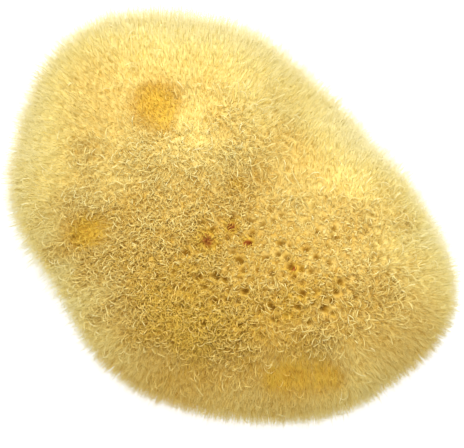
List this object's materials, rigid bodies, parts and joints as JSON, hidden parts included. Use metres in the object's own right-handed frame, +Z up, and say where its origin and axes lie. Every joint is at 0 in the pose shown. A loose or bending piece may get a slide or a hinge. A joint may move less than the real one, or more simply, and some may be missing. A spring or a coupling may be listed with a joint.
{
  "type": "sea sponge",
  "caption": "Natural silk sea sponge with a soft, rounded, lobed body and open canal mouths, cut flat where it grew on rock; for bathing or display.",
  "frame": {"origin": "middle of the bounding box, on the flat cut face that the sponge rests on", "axes": "+X along the sponge, from the broad crown to the narrower toe; +Z up from the flat cut; +Y completes a right-handed frame"},
  "size_m": [0.116, 0.0862, 0.0523],
  "materials": {
    "spongin": "dry bleached spongin fibre: a matt, pale golden pile, paler at the tips and amber inside the pores"
  },
  "bodies": {
    "root": {"sponge": "spongin"}
  },
  "joints": []
}
